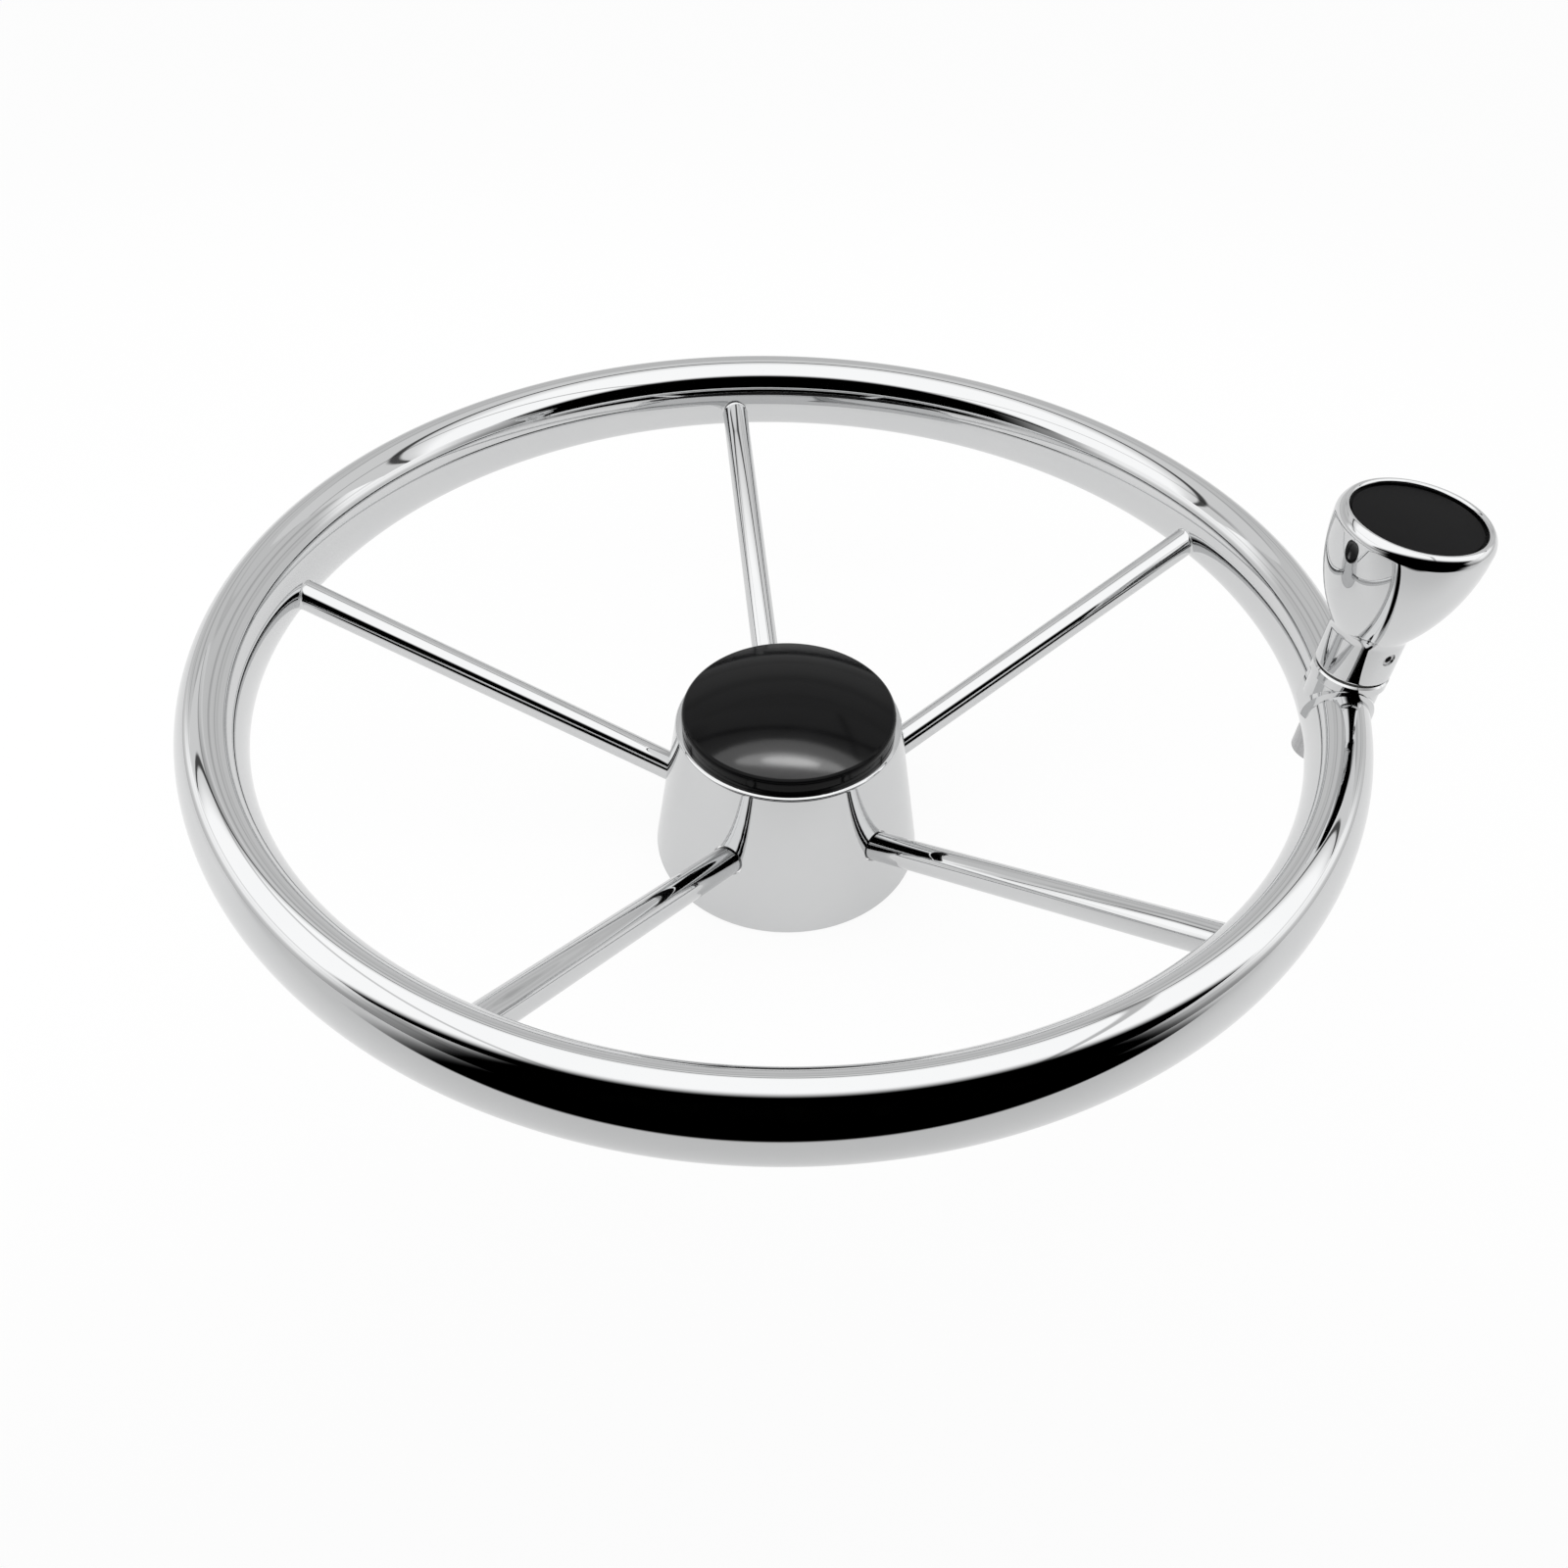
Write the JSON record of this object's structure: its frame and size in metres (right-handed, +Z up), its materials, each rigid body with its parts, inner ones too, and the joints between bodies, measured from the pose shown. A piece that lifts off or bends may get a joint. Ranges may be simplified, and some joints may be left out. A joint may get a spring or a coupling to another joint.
{
  "type": "boat steering wheel",
  "caption": "Dished stainless steel boat steering wheel with round-bar spokes, an oval tube rim, a conical hub with a black push-in cap and a spinner knob on the rim.",
  "frame": {"origin": "on the shaft axis, in the plane of the hub's open base", "axes": "+Z up the shaft axis towards the helmsman, +Y along the first spoke, +X to the right as the helmsman sees it with that spoke upright"},
  "size_m": [0.3489, 0.343, 0.1531],
  "materials": {
    "polished_steel": "mirror polished",
    "machined_steel": "machined",
    "cap_black": "gloss",
    "insert_black": "satin",
    "bush_bronze": "turned",
    "washer_nylon": "matt"
  },
  "bodies": {
    "wheel": {"rim_tube": "polished_steel", "spoke_1": "polished_steel", "spoke_2": "polished_steel", "spoke_3": "polished_steel", "spoke_4": "polished_steel", "spoke_5": "polished_steel", "hub_shell": "polished_steel", "hub_boss": "machined_steel", "hub_plate": "machined_steel", "hub_cap": "cap_black", "shaft_washer": "machined_steel", "shaft_nut": "machined_steel", "knob_base": "polished_steel", "rim_sleeve": "machined_steel", "saddle_washer": "machined_steel", "fixing_screw": "machined_steel", "thrust_washer": "washer_nylon"},
    "knob": {"knob_body": "polished_steel", "knob_insert": "insert_black", "lower_bush": "bush_bronze", "upper_bush": "bush_bronze", "knob_grub_screw": "machined_steel"}
  },
  "joints": [
    {"name": "knob_spin", "type": "hinge", "parent": "wheel", "child": "knob", "pos_m": [0.15483, -0.05031, 0.08515], "axis": [0.0282, -0.0092, 0.9996], "continuous": true}
  ]
}
